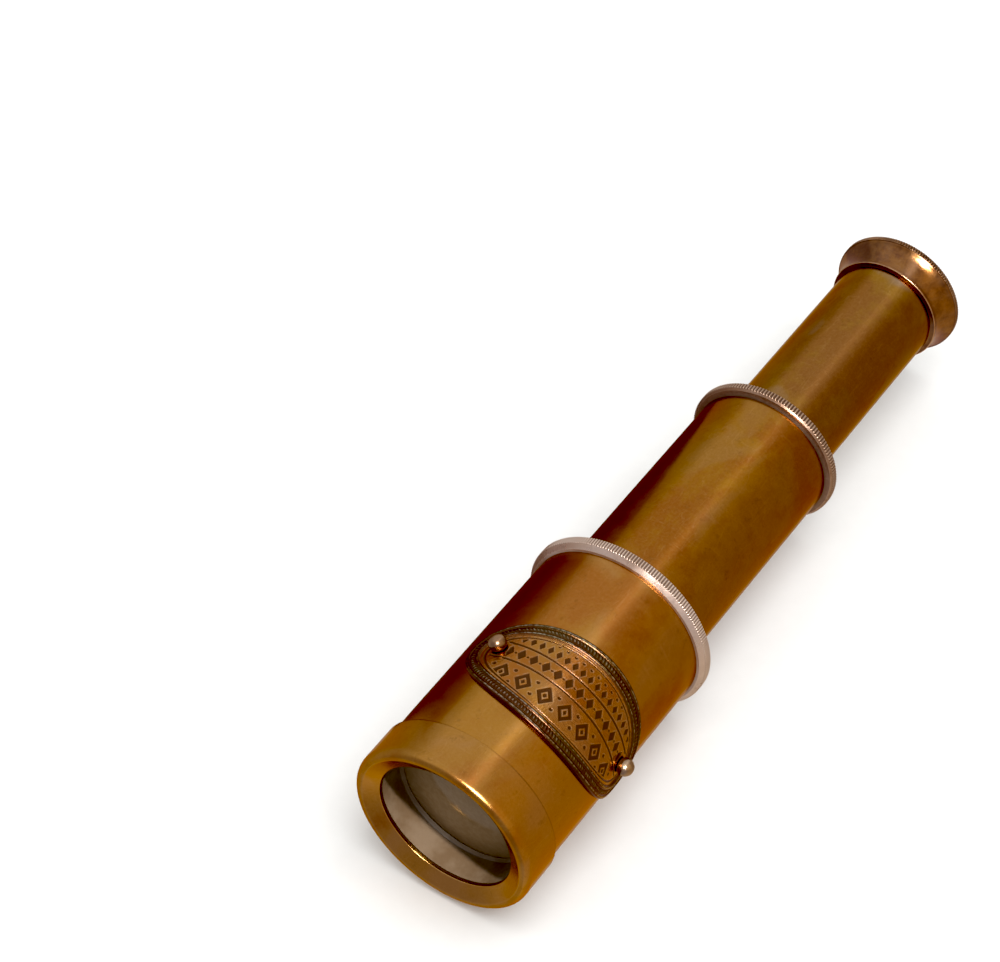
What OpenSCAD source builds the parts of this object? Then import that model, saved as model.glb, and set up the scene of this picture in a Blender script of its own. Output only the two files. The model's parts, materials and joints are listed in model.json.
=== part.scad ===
// Pocket telescope of brass with two draws, a knurled collar on each tube and a flared eyecup.
// All lengths are millimetres. The optical axis is +X, +Z is up, and the origin is on the axis in
// the middle of the objective cap's straight rim. The telescope is drawn fully pulled out.
// Every x below is counted from the front face of the cap, and placed() moves it to the origin.
// An angle round a tube is counted from +Z towards -Y.

/* [Main barrel] */
// Outside diameter of the main barrel
barrel_d = 33; // [32:0.5:36]
// Wall thickness of the main barrel
barrel_wall = 1; // [0.8:0.1:1.1]
// Length from the front face to the back of the barrel collar
barrel_len = 55.2; // [54:0.2:62]

/* [Objective] */
// How far the objective cap stands proud of the barrel
cap_step = 0.6; // [0.4:0.1:1]
// Length of the objective cap
cap_len = 8.4; // [7.5:0.1:12]
// Diameter of the opening in front of the lens
opening_d = 25.8; // [24:0.2:26.2]
// How far the dished face falls from the front lip to the opening
face_depth = 1.5; // [0.6:0.1:1.8]
// Distance from the front lip to the lens
opening_depth = 8.1; // [6:0.1:8.6]
// Inside diameter of the seat that the lens rests on
seat_d = 25.2; // [23.4:0.2:25.4]
// Radius of both faces of the objective lens
objective_r = 58; // [50:1:80]

/* [Draws] */
// Outside diameter of the first draw tube
draw_1_d = 26.54; // [25.6:0.02:27]
// Outside diameter of the second draw tube
draw_2_d = 20.16; // [19.6:0.02:20.4]
// Wall thickness of both draw tubes
draw_wall = 0.7; // [0.6:0.05:0.75]
// Bare length of the first draw when pulled out
draw_1_out = 47.1; // [44:0.1:52]
// Bare length of the second draw when pulled out
draw_2_out = 43.6; // [42:0.1:47]

/* [Collars and knurling] */
// How far a collar stands proud of its tube
collar_step = 1.4; // [1:0.1:2]
// Width of the knurled band on a collar
collar_band = 1.7; // [1.4:0.1:2.4]
// Number of teeth round the barrel collar
barrel_teeth = 210; // [120:10:240]
// Number of teeth round the draw collar
draw_teeth = 150; // [100:10:200]
// Number of teeth round the eyecup
eyecup_teeth = 144; // [100:4:180]
// Depth of the knurling
knurl_depth = 0.18; // [0.1:0.02:0.24]

/* [Eyecup] */
// Diameter of the knurled rim of the eyecup
eyecup_d = 25.4; // [24.6:0.2:28]
// Length of the eyecup behind the second draw
eyecup_len = 6.3; // [6:0.1:8]
// Diameter of the lip at the eyecup's base
lip_d = 21.9; // [21.4:0.1:22.4]
// Diameter of the hole the eye looks through
eye_hole_d = 8.4; // [6:0.2:9.6]

/* [Name plate] */
// Length of the oval plate round the barrel
plate_len = 42.8; // [36:0.2:46]
// Width of the oval plate along the barrel
plate_w = 20; // [16:0.2:22]
// Width of the plate's raised border
border_w = 2.9; // [2:0.1:3.2]
// Height of the border above the barrel
border_h = 0.85; // [0.7:0.05:1]
// Thickness of the plate inside its border
field_h = 0.42; // [0.3:0.02:0.5]
// Angle of the plate's middle round the barrel
plate_angle = 33; // [0:1:60]
// Distance of the plate's middle from the front face
plate_x = 26.3; // [22:0.1:34]
// Tilt of the plate across the barrel
plate_tilt = 1.4; // [-2:0.1:2]
// Distance of each ball-headed pin from the plate's middle
pin_reach = 16; // [13:0.1:16.4]
// Shift of the pins from the plate's long axis towards the eyepiece
pin_shift = 1.2; // [0:0.1:1.5]
// Diameter of a pin's ball head
pin_ball_d = 3.2; // [2:0.1:3.4]

/* [Fits] */
// Radial clearance of a sliding or turning fit
run_gap = 0.05; // [0.02:0.01:0.08]
// Gap between parts that touch but don't slide
seat_gap = 0.03; // [0.02:0.01:0.05]

/* [Hidden] */
$fn = 96;
barrel_r = barrel_d / 2;
bore_r = barrel_r - barrel_wall;
draw_1_r = draw_1_d / 2;
draw_1_bore_r = draw_1_r - draw_wall;
draw_2_r = draw_2_d / 2;
draw_2_bore_r = draw_2_r - draw_wall;
opening_r = opening_d / 2;
cap_r = barrel_r + cap_step;
cap_face_t = 0.8;
cap_back_x = face_depth + cap_face_t;
cap_lip_r = 15.5;
cap_corner = 1.1;
cap_taper_len = 1.3;
rim_mid_x = (cap_corner + cap_len - cap_taper_len) / 2;

// The objective lens rests on the far end of a seat ring and is held by a ring behind it.
seat_in_r = seat_d / 2;
seat_x = cap_back_x + seat_gap;
seat_wall_r = opening_r + 0.2;
seat_chamfer = seat_wall_r - seat_in_r;
seat_land = 0.2;
lens_r = bore_r - 0.1;
lens_rim_t = 1.4;
lens_front_x = opening_depth + seat_gap - sag(objective_r, seat_in_r);
lens_back_x = lens_front_x + 2 * sag(objective_r, lens_r) + lens_rim_t;
ring_in_r = opening_r + 1;
ring_x = lens_back_x - sag(objective_r, ring_in_r) + seat_gap;
ring_t = 1.5;

// Each collar has a neck inside its tube, with a groove that holds a split spring sleeve.
collar_bevel = 0.7;
band_root = 0.5;
bevel_inset = 0.03;
collar_lip_t = 0.6;
collar_lip_gap = 0.13;
sleeve_t = 0.88;
tube_gap = 0.4;
barrel_neck_x = barrel_len - 4.2;
barrel_end_x = barrel_len - collar_band - collar_bevel;
stop_1_len = 2;
stop_1_x = barrel_neck_x - 0.1 - stop_1_len;
draw_1_end_x = barrel_len + draw_1_out;
draw_1_back_x = draw_1_end_x + collar_band;
draw_1_neck_x = draw_1_back_x - 5.6;
stop_2_len = 2.4;
stop_2_x = draw_1_neck_x - 0.1 - stop_2_len;
lip_x = draw_1_back_x + draw_2_out;
draw_2_end_x = lip_x - tube_gap;

// The erector cartridge sits in the inner end of the second draw.
erector_r = 8.35;
erector_wall_r = 8.4;
erector_curve = 31;
erector_rim_t = 1;
erector_seat_r = 7.2;
erector_spacer_r = 7.4;
erector_x = stop_2_x + 0.3;
erector_len = 15.4;
erector_lip_t = 0.6;
erector_stop_t = 0.5;
erector_stop_r = 3;
erector_lens_t = 2 * sag(erector_curve, erector_r) + erector_rim_t;
erector_back_x = erector_x + erector_len - erector_lip_t - seat_gap
    + sag(erector_curve, erector_seat_r);
erector_mid_x = erector_x + erector_len / 2 + 0.25;
erector_rear_x = erector_back_x - erector_lens_t;
erector_front_x = 2 * erector_mid_x - erector_back_x;
erector_spacer_len = erector_rear_x + sag(erector_curve, erector_spacer_r) - seat_gap
    - erector_mid_x - erector_stop_t / 2;

// The eyepiece tube sits in the outer end of the second draw and takes the eyecup's neck.
eyepiece_x = lip_x - 13.6;
eyepiece_lip_t = 0.7;
eyepiece_bore_r = 8.5;
field_r = 8.45;
field_curve = 16;
field_seat_r = 7.3;
field_rim_t = 1;
field_front_x = eyepiece_x + eyepiece_lip_t + seat_gap - sag(field_curve, field_seat_r);
field_back_x = field_front_x + sag(field_curve, field_r) + field_rim_t;
field_stop_x = lip_x - 7.3;
field_stop_t = 0.5;
field_stop_r = 4.6;
spacer_in_r = 7.5;
neck_x = lip_x - 3;
eye_bore_r = 6.3;
eye_lens_r = 6.25;
eye_curve = 8.5;
eye_rim_t = 1;
eye_seat_x = lip_x + 1;
eye_front_x = eye_seat_x - eye_rim_t - sag(eye_curve, eye_lens_r);
eye_ring_in_r = 5.2;
eye_ring_back_x = eye_front_x + sag(eye_curve, eye_ring_in_r) - seat_gap;
eye_ring_t = 1.4;

// The eyecup flares from its waist to a knurled rim, and is dished towards the eye.
lip_t = 0.7;
lip_corner = 0.25;
rim_t = 1.1;
rim_step = 0.2;
waist_r = draw_2_r + 0.3;
flare_r = eyecup_d / 2 - rim_step;
flare_len = eyecup_len - lip_t - rim_t;
flare_rise = flare_r - waist_r;
flare_curve = (flare_rise * flare_rise + flare_len * flare_len) / 2 / flare_rise;
eyecup_x = lip_x + eyecup_len;
dish_r = flare_r - 0.8;
dish_depth = 4.4;
dish_curve = (dish_r * dish_r + dish_depth * dish_depth) / 2 / dish_depth;

// The name plate is an oval wrapped round the barrel, drawn as rings of points.
plate_points = 120;
plate_gap = 0.03;
plate_bevel = 0.25;
pin_shank_r = 0.8;
pin_sink = 0.7;
field_top_r = barrel_r + plate_gap + field_h;

// Depth of a spherical face of the given curve at a distance from the axis
function sag(curve, r) = curve - sqrt(curve * curve - r * r);

// A point of the plate: s runs round the barrel, x along it, and r is the distance from the axis
function wrapped(s, x, r) =
    let (round_s = s * cos(plate_tilt) - x * sin(plate_tilt),
         along_x = s * sin(plate_tilt) + x * cos(plate_tilt),
         turn = round_s / barrel_r * 180 / PI)
    [along_x, -r * sin(turn), r * cos(turn)];

// One closed ring of points, inset from the plate's outline
function plate_ring(inset, r) = [for (i = [0 : plate_points - 1])
    let (t = (i + 0.5) * 360 / plate_points)
    wrapped((plate_len / 2 - inset) * cos(t), (plate_w / 2 - inset) * sin(t), r)];

// Triangles that join ring k to ring k + 1
function band_faces(k) = [for (i = [0 : plate_points - 1])
    let (j = (i + 1) % plate_points, low = k * plate_points, high = low + plate_points)
    for (face = [[low + i, high + i, high + j], [low + i, high + j, low + j]]) face];

// Triangles that close ring k with strips across it, seen from outside or from inside
function fill_faces(k, outside) = [for (i = [0 : plate_points / 2 - 2])
    let (low = k * plate_points, p = low + i, q = low + i + 1,
         u = low + plate_points - 2 - i, v = low + plate_points - 1 - i)
    for (face = outside ? [[p, u, q], [p, v, u]] : [[p, q, u], [p, u, v]]) face];

// Moves a part drawn from the cap's front face to the origin in the middle of the cap's rim
module placed() {
    translate([-rim_mid_x, 0, 0]) children();
}

// Turns a flat profile, drawn as [distance from the axis, x], round the optical axis
module turned() {
    rotate([0, 90, 0]) rotate_extrude() children();
}

module ring(in_r, out_r, x, len) {
    turned() translate([in_r, x]) square([out_r - in_r, len]);
}

// A band with fine straight teeth round its outside
module knurled_band(in_r, out_r, teeth, x, len) {
    outline = [for (i = [0 : 2 * teeth - 1])
        let (r = i % 2 == 0 ? out_r : out_r - knurl_depth, a = i * 180 / teeth)
        [r * cos(a), r * sin(a)]];
    translate([x, 0, 0]) rotate([0, 90, 0]) linear_extrude(len) difference() {
        polygon(outline);
        circle(in_r);
    }
}

// Half of a lens's cross-section: a front curve of zero or a back curve of zero is a flat face
module lens_profile(r, front_x, back_x, front_curve, back_curve) {
    $fn = 720;
    intersection() {
        translate([0, front_x]) square([r, back_x - front_x]);
        translate([0, front_x + front_curve]) circle(front_curve);
        if (back_curve > 0) translate([0, back_x - back_curve]) circle(back_curve);
    }
}

// A split ring that springs onto the tube inside it
module spring_sleeve(tube_r, x, len) {
    slit = 1.5;
    difference() {
        ring(tube_r + run_gap, tube_r + sleeve_t, x, len);
        translate([x - 1, -slit / 2, -tube_r - 2]) cube([len + 2, slit, tube_r]);
    }
}

// Collar neck with a front lip, a groove for the sleeve and a back lip, from neck_x to back_x
module collar_neck(neck_r, tube_r, neck_x, back_x) {
    difference() {
        ring(tube_r + collar_lip_gap, neck_r, neck_x, back_x - neck_x);
        ring(0, tube_r + sleeve_t + run_gap, neck_x + collar_lip_t,
            back_x - neck_x - 2 * collar_lip_t);
    }
}

// Places a child on the plate, pointing outwards from the axis
module on_plate(s, x) {
    along_x = s * sin(plate_tilt) + x * cos(plate_tilt);
    round_s = s * cos(plate_tilt) - x * sin(plate_tilt);
    translate([plate_x + along_x, 0, 0])
        rotate([plate_angle + round_s / barrel_r * 180 / PI, 0, 0]) children();
}

module pin_holes() {
    for (side = [-1, 1])
        on_plate(side * pin_reach, pin_shift) cylinder(r = pin_shank_r, h = barrel_r + 3);
}

module barrel_tube() {
    color("darkgoldenrod") difference() {
        ring(bore_r, barrel_r, cap_back_x, barrel_end_x - cap_back_x);
        pin_holes();
    }
}

module objective_cap() {
    color("peru") turned() difference() {
        polygon([[opening_r, face_depth], [cap_lip_r, 0], [cap_r, 0],
            [cap_r, cap_len - cap_taper_len], [barrel_r + 0.05, cap_len], [barrel_r, cap_len],
            [barrel_r, cap_back_x], [opening_r, cap_back_x]]);
        translate([cap_r - cap_corner, 0]) difference() {
            square(cap_corner);
            translate([0, cap_corner]) circle(cap_corner);
        }
    }
}

module objective_seat() {
    land_x = opening_depth - seat_land;
    color("tan") turned() polygon([[seat_wall_r, seat_x], [bore_r, seat_x],
        [bore_r, opening_depth], [seat_in_r, opening_depth], [seat_in_r, land_x],
        [seat_wall_r, land_x - seat_chamfer]]);
}

module objective_lens() {
    color("lightcyan")
        turned() lens_profile(lens_r, lens_front_x, lens_back_x, objective_r, objective_r);
}

module objective_ring() {
    color("darkgoldenrod") ring(ring_in_r, bore_r, ring_x, ring_t);
}

module barrel_collar() {
    collar_r = barrel_r + collar_step;
    root_r = bore_r - band_root;
    color("thistle") {
        collar_neck(bore_r, draw_1_r, barrel_neck_x, barrel_len);
        turned() polygon([[root_r, barrel_end_x], [barrel_r + 0.5, barrel_end_x],
            [collar_r - knurl_depth - bevel_inset, barrel_end_x + collar_bevel],
            [root_r, barrel_end_x + collar_bevel]]);
        knurled_band(root_r, collar_r, barrel_teeth, barrel_len - collar_band, collar_band);
    }
}

module name_plate() {
    rings = concat(plate_ring(0, barrel_r + plate_gap),
        plate_ring(plate_bevel, barrel_r + border_h),
        plate_ring(border_w, barrel_r + border_h),
        plate_ring(border_w + plate_bevel, field_top_r));
    faces = concat(fill_faces(0, false), band_faces(0), band_faces(1), band_faces(2),
        fill_faces(3, true));
    color("goldenrod") difference() {
        translate([plate_x, 0, 0]) rotate([plate_angle, 0, 0]) polyhedron(rings, faces);
        pin_holes();
    }
}

module plate_pins() {
    ball_r = pin_ball_d / 2;
    ball_x = field_top_r + seat_gap + ball_r - pin_sink;
    color("silver") for (side = [-1, 1]) on_plate(side * pin_reach, pin_shift) rotate_extrude() {
        intersection() {
            translate([0, field_top_r + seat_gap]) square([ball_r, pin_ball_d]);
            translate([0, ball_x]) circle(ball_r);
        }
        translate([0, bore_r + 0.05]) square([pin_shank_r, ball_x - bore_r]);
    }
}

module barrel_sleeve() {
    groove_len = barrel_len - barrel_neck_x - 2 * collar_lip_t;
    color("khaki")
        spring_sleeve(draw_1_r, barrel_neck_x + collar_lip_t + run_gap, groove_len - 2 * run_gap);
}

module draw_tube_1() {
    color("goldenrod")
        ring(draw_1_bore_r, draw_1_r, stop_1_x, draw_1_end_x - tube_gap - stop_1_x);
}

module draw_1_stop() {
    color("darkgoldenrod") ring(draw_1_r, bore_r - 0.08, stop_1_x, stop_1_len);
}

module draw_1_collar() {
    collar_r = draw_1_r + collar_step;
    root_r = draw_1_bore_r - band_root;
    front_bevel = 0.3;
    color("rosybrown") {
        collar_neck(draw_1_bore_r, draw_2_r, draw_1_neck_x, draw_1_back_x);
        turned() polygon([[root_r, draw_1_end_x], [collar_r - 0.45, draw_1_end_x],
            [collar_r - knurl_depth - bevel_inset, draw_1_end_x + front_bevel],
            [root_r, draw_1_end_x + front_bevel]]);
        knurled_band(root_r, collar_r, draw_teeth, draw_1_end_x + front_bevel,
            collar_band - front_bevel);
    }
}

module draw_1_sleeve() {
    groove_len = draw_1_back_x - draw_1_neck_x - 2 * collar_lip_t;
    color("khaki")
        spring_sleeve(draw_2_r, draw_1_neck_x + collar_lip_t + run_gap, groove_len - 2 * run_gap);
}

module draw_tube_2() {
    color("goldenrod") ring(draw_2_bore_r, draw_2_r, stop_2_x, draw_2_end_x - stop_2_x);
}

module draw_2_stop() {
    color("darkgoldenrod") ring(draw_2_r, draw_1_bore_r - 0.08, stop_2_x, stop_2_len);
}

module erector_tube() {
    color("dimgray") {
        ring(erector_wall_r, draw_2_bore_r, erector_x, erector_len);
        ring(erector_seat_r, draw_2_bore_r, erector_x + erector_len - erector_lip_t, erector_lip_t);
    }
}

module erector_lens(front_x) {
    color("lightcyan") turned() lens_profile(erector_r, front_x, front_x + erector_lens_t,
        erector_curve, erector_curve);
}

module erector_front_lens() {
    erector_lens(erector_front_x);
}

module erector_rear_lens() {
    erector_lens(erector_rear_x);
}

module erector_ring() {
    color("dimgray") ring(erector_seat_r, erector_wall_r, erector_x,
        erector_front_x + sag(erector_curve, erector_seat_r) - seat_gap - erector_x);
}

module erector_front_spacer() {
    color("dimgray") ring(erector_spacer_r, erector_wall_r,
        erector_mid_x - erector_stop_t / 2 - erector_spacer_len, erector_spacer_len);
}

module erector_stop() {
    color("black")
        ring(erector_stop_r, erector_wall_r, erector_mid_x - erector_stop_t / 2, erector_stop_t);
}

module erector_rear_spacer() {
    color("dimgray") ring(erector_spacer_r, erector_wall_r, erector_mid_x + erector_stop_t / 2,
        erector_spacer_len);
}

module eyepiece_tube() {
    color("dimgray") {
        ring(eyepiece_bore_r, draw_2_bore_r, eyepiece_x, draw_2_end_x - eyepiece_x);
        ring(field_seat_r, draw_2_bore_r, eyepiece_x, eyepiece_lip_t);
    }
}

module field_lens() {
    color("lightcyan") turned() lens_profile(field_r, field_front_x, field_back_x, field_curve, 0);
}

module field_spacer() {
    start_x = field_back_x + seat_gap;
    color("dimgray") ring(spacer_in_r, eyepiece_bore_r, start_x, field_stop_x - start_x);
}

module field_stop() {
    color("black") ring(field_stop_r, eyepiece_bore_r, field_stop_x, field_stop_t);
}

module eye_spacer() {
    start_x = field_stop_x + field_stop_t;
    color("dimgray") ring(spacer_in_r, eyepiece_bore_r, start_x, neck_x - start_x);
}

module eye_lens() {
    color("lightcyan") turned() lens_profile(eye_lens_r, eye_front_x, eye_seat_x, eye_curve, 0);
}

module eye_lens_ring() {
    color("dimgray") ring(eye_ring_in_r, eye_bore_r, eye_ring_back_x - eye_ring_t, eye_ring_t);
}

module eyecup() {
    color("saddlebrown") {
        turned() difference() {
            union() {
                translate([0, neck_x]) square([eyepiece_bore_r, lip_x - neck_x]);
                translate([0, lip_x]) square([lip_d / 2, lip_t]);
                translate([0, lip_x + lip_t]) difference() {
                    square([flare_r, flare_len]);
                    translate([waist_r + flare_curve, 0]) circle(flare_curve);
                }
                translate([0, eyecup_x - rim_t]) square([flare_r, rim_t]);
            }
            translate([lip_d / 2 - lip_corner, lip_x]) difference() {
                square(lip_corner);
                translate([0, lip_corner]) circle(lip_corner);
            }
            translate([0, neck_x]) square([eye_bore_r, eye_seat_x - neck_x]);
            square([eye_hole_d / 2, eyecup_x + 1]);
            translate([0, eyecup_x - dish_depth + dish_curve]) circle(dish_curve);
        }
        knurled_band(flare_r - band_root, eyecup_d / 2, eyecup_teeth, eyecup_x - rim_t, rim_t);
    }
}

placed() barrel_tube();
placed() objective_cap();
placed() objective_seat();
placed() objective_lens();
placed() objective_ring();
placed() barrel_collar();
placed() name_plate();
placed() plate_pins();
placed() barrel_sleeve();
placed() draw_tube_1();
placed() draw_1_stop();
placed() draw_1_collar();
placed() draw_1_sleeve();
placed() draw_tube_2();
placed() draw_2_stop();
placed() erector_tube();
placed() erector_ring();
placed() erector_front_lens();
placed() erector_front_spacer();
placed() erector_stop();
placed() erector_rear_spacer();
placed() erector_rear_lens();
placed() eyepiece_tube();
placed() field_lens();
placed() field_spacer();
placed() field_stop();
placed() eye_spacer();
placed() eye_lens();
placed() eye_lens_ring();
placed() eyecup();
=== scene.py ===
"""Looks of the brass pocket telescope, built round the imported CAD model.

Metres, +X from the objective to the eyepiece, +Z up. An angle round a tube is counted from +Z
towards -Y, and an outline is a loop of (x, distance from the axis) points turned round the axis.
"""

import json
import math

import bmesh
import bpy
import numpy as np
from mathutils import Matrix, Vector


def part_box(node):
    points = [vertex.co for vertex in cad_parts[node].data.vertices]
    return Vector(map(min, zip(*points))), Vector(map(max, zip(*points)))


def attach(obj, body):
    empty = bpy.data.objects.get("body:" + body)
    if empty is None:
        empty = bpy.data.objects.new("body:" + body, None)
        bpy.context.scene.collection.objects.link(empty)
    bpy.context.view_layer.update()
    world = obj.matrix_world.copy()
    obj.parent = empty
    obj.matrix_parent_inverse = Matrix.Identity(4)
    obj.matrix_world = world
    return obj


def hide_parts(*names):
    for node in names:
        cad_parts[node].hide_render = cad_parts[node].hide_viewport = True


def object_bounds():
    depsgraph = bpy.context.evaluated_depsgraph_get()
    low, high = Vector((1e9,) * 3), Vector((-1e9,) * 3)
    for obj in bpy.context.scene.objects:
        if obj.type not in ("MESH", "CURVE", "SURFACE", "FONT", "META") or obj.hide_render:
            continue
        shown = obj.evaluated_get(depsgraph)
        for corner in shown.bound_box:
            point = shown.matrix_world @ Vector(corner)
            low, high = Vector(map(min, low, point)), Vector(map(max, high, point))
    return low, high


MM = 0.001


# ---------------------------------------------------------------- shader trees


class Shader:
    """Builds one node tree. Each short method adds a node and returns its output socket."""

    def __init__(self, tree):
        self.tree = tree
        tree.nodes.clear()

    def node(self, kind, inputs=None, **settings):
        made = self.tree.nodes.new(kind)
        for key, value in settings.items():
            setattr(made, key, value)
        for key, value in (inputs or {}).items():
            if isinstance(value, bpy.types.NodeSocket):
                self.tree.links.new(value, made.inputs[key])
            else:
                made.inputs[key].default_value = value
        return made

    def place(self, scale=(1, 1, 1)):
        """The point on the piece in metres, stretched by a scale for each axis."""
        point = self.node("ShaderNodeTexCoord").outputs["Object"]
        return self.node("ShaderNodeMapping", {"Vector": point, "Scale": scale}).outputs[0]

    def attribute(self, name):
        return self.node("ShaderNodeAttribute", attribute_name=name).outputs["Fac"]

    def noise(self, point, scale, detail=2.0, roughness=0.5, distortion=0.0):
        values = {
            "Vector": point,
            "Scale": scale,
            "Detail": detail,
            "Roughness": roughness,
            "Distortion": distortion,
        }
        return self.node("ShaderNodeTexNoise", values).outputs["Fac"]

    def math(self, operation, a, b=0.0):
        return self.node("ShaderNodeMath", {0: a, 1: b}, operation=operation).outputs[0]

    def span(self, value, low, high, to_low=0.0, to_high=1.0):
        """Carries low..high to to_low..to_high with soft ends."""
        inputs = {0: value, 1: low, 2: high, 3: to_low, 4: to_high}
        kind = "ShaderNodeMapRange"
        return self.node(kind, inputs, interpolation_type="SMOOTHSTEP").outputs[0]

    def mix(self, share, a, b, blend="MIX"):
        made = self.node("ShaderNodeMix", data_type="RGBA", blend_type=blend)
        for index, value in ((0, share), (6, a), (7, b)):
            if isinstance(value, bpy.types.NodeSocket):
                self.tree.links.new(value, made.inputs[index])
            else:
                made.inputs[index].default_value = value if index == 0 else (*value, 1)
        return made.outputs[2]

    def ramp(self, value, stops):
        made = self.node("ShaderNodeValToRGB", {0: value})
        ramp = made.color_ramp
        ramp.interpolation = "EASE"
        while len(ramp.elements) < len(stops):
            ramp.elements.new(1.0)
        for element, (position, colour) in zip(ramp.elements, stops):
            element.position = position
            element.color = (*colour, 1)
        return made.outputs[0]

    def lines(self, scale, thin):
        """Fine wandering scratches: the places where a stretched noise passes its middle."""
        wave = self.noise(self.place(scale), 1.0, detail=1.0)
        off_middle = self.math("ABSOLUTE", self.math("SUBTRACT", wave, 0.5))
        return self.span(off_middle, 0.0, thin, 1.0, 0.0)

    def bump(self, height, depth, strength=1.0, normal=None):
        inputs = {"Height": height, "Distance": depth, "Strength": strength}
        if normal is not None:
            inputs["Normal"] = normal
        return self.node("ShaderNodeBump", inputs).outputs[0]


def new_material(name):
    material = bpy.data.materials.new(name)
    material.use_nodes = True
    return material, Shader(material.node_tree)


def surface(shader, **values):
    """Ends a material with a Principled shader. Names of inputs are written with _ for a space."""
    inputs = {key.replace("_", " "): value for key, value in values.items()}
    for key in ("Base Color", "Specular Tint"):
        if key in inputs and isinstance(inputs[key], tuple):
            inputs[key] = (*inputs[key], 1)
    end = shader.node("ShaderNodeBsdfPrincipled", inputs)
    shader.node("ShaderNodeOutputMaterial", {0: end.outputs[0]})


def aged_brass(
    name, gold, brown, haze, worn=(0.62, 0.38, 0.17), dark=(0.045, 0.018, 0.006),
    edge=(0.75, 0.45, 0.20), haze_share=0.5, roughness=0.2, coat=0.03, grain=1.0,
    cloud_scale=60.0, golden_end=None, metal=1.0,
):
    """Brass with a wiped patina: gold and brown clouds, a pale haze, specks, scratches and wear.

    The attribute wear shows bright metal on edges, and recess darkens inside corners, knurl valleys
    and the feet of the pins with painted shade; recess also marks the blackened insides of tubes.
    The edge colour is the metal's tint at a grazing angle. A golden_end is an x in metres: the
    metal is more golden in front of it and browner behind it. Less metal makes it duller.
    """
    material, s = new_material(name)
    point = s.place()
    clouds = s.noise(s.place((0.55, 1, 1)), cloud_scale, 3.0, 0.5, 0.6)
    patches = s.noise(point, cloud_scale * 4.3, 4.0, 0.6)
    specks = s.noise(point, 2100.0, 2.0, 0.6)
    rubbed = s.noise(s.place((160, 900, 900)), 1.0, 2.0, 0.55)
    scratches = s.math("MAXIMUM", s.lines((90, 700, 700), 0.010), s.lines((500, 70, 90), 0.006))
    blend = s.math("ADD", s.math("MULTIPLY", clouds, 0.7), s.math("MULTIPLY", patches, 0.3))
    if golden_end is not None:
        x = s.node("ShaderNodeSeparateXYZ", {0: point}).outputs[0]
        blend = s.math("ADD", blend, s.span(x, golden_end - 0.02, golden_end + 0.02, 0.07, -0.06))
    colour = s.mix(s.span(blend, 0.40, 0.59), brown, gold)
    hazy = s.noise(s.place((0.5, 1, 1)), cloud_scale * 1.1, 3.0, 0.55, 1.0)
    colour = s.mix(s.span(hazy, 0.47, 0.66, 0.0, haze_share), colour, haze)
    freckles = s.span(s.noise(point, 560.0, 3.0, 0.7), 0.28, 0.42, 0.15 * grain, 0.0)
    colour = s.mix(freckles, colour, dark)
    colour = s.mix(s.span(specks, 0.35, 0.75, 0.0, 0.07 * grain), colour, worn)
    colour = s.mix(s.math("MULTIPLY", scratches, 0.10 * grain), colour, worn)
    wear_and_glint = s.math("MULTIPLY", s.attribute("wear_and_glint"), s.span(patches, 0.30, 0.62, 0.45, 1.0))
    colour = s.mix(wear_and_glint, colour, worn)
    # recess puts painted shade in inside corners, knurl valleys and pin feet, and blackens tube
    # insides
    recess = s.attribute("recess")
    colour = s.mix(recess, colour, dark)
    rough = s.math("ADD", s.span(patches, 0.3, 0.7, roughness - 0.03, roughness + 0.05),
                   s.math("MULTIPLY", recess, 0.3))
    height = s.math("ADD", s.math("MULTIPLY", specks, 0.35), s.math("MULTIPLY", rubbed, 0.65))
    height = s.math("SUBTRACT", height, s.math("MULTIPLY", scratches, 0.5))
    normal = s.bump(s.noise(point, 130.0, 1.0), 0.00005, 0.5)
    normal = s.bump(height, 0.00001, 0.25 * grain, normal)
    surface(s, Base_Color=colour, Metallic=s.span(recess, 0.3, 1.0, metal, 0.5), Roughness=rough,
            Normal=normal, Coat_Weight=coat, Coat_Roughness=0.1, Specular_Tint=edge)
    return material


def matt_brass(name):
    """Bare brass inside the front end, dulled to a greyish brown."""
    material, s = new_material(name)
    point = s.place()
    clouds = s.noise(point, 220.0, 3.0, 0.55)
    grain = s.noise(point, 1700.0, 3.0, 0.6)
    colour = s.mix(s.span(clouds, 0.35, 0.65), (0.072, 0.045, 0.025), (0.098, 0.067, 0.042))
    colour = s.mix(s.attribute("wear_and_glint"), colour, (0.13, 0.095, 0.062))
    # Painted shade darkens the inside corners of the wall
    colour = s.mix(s.attribute("recess"), colour, (0.05, 0.035, 0.025))
    surface(s, Base_Color=colour, Metallic=0.1, Roughness=s.span(grain, 0.3, 0.7, 0.5, 0.65),
            Normal=s.bump(grain, 0.00002, 0.4), Specular_IOR_Level=0.2)
    return material


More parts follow.
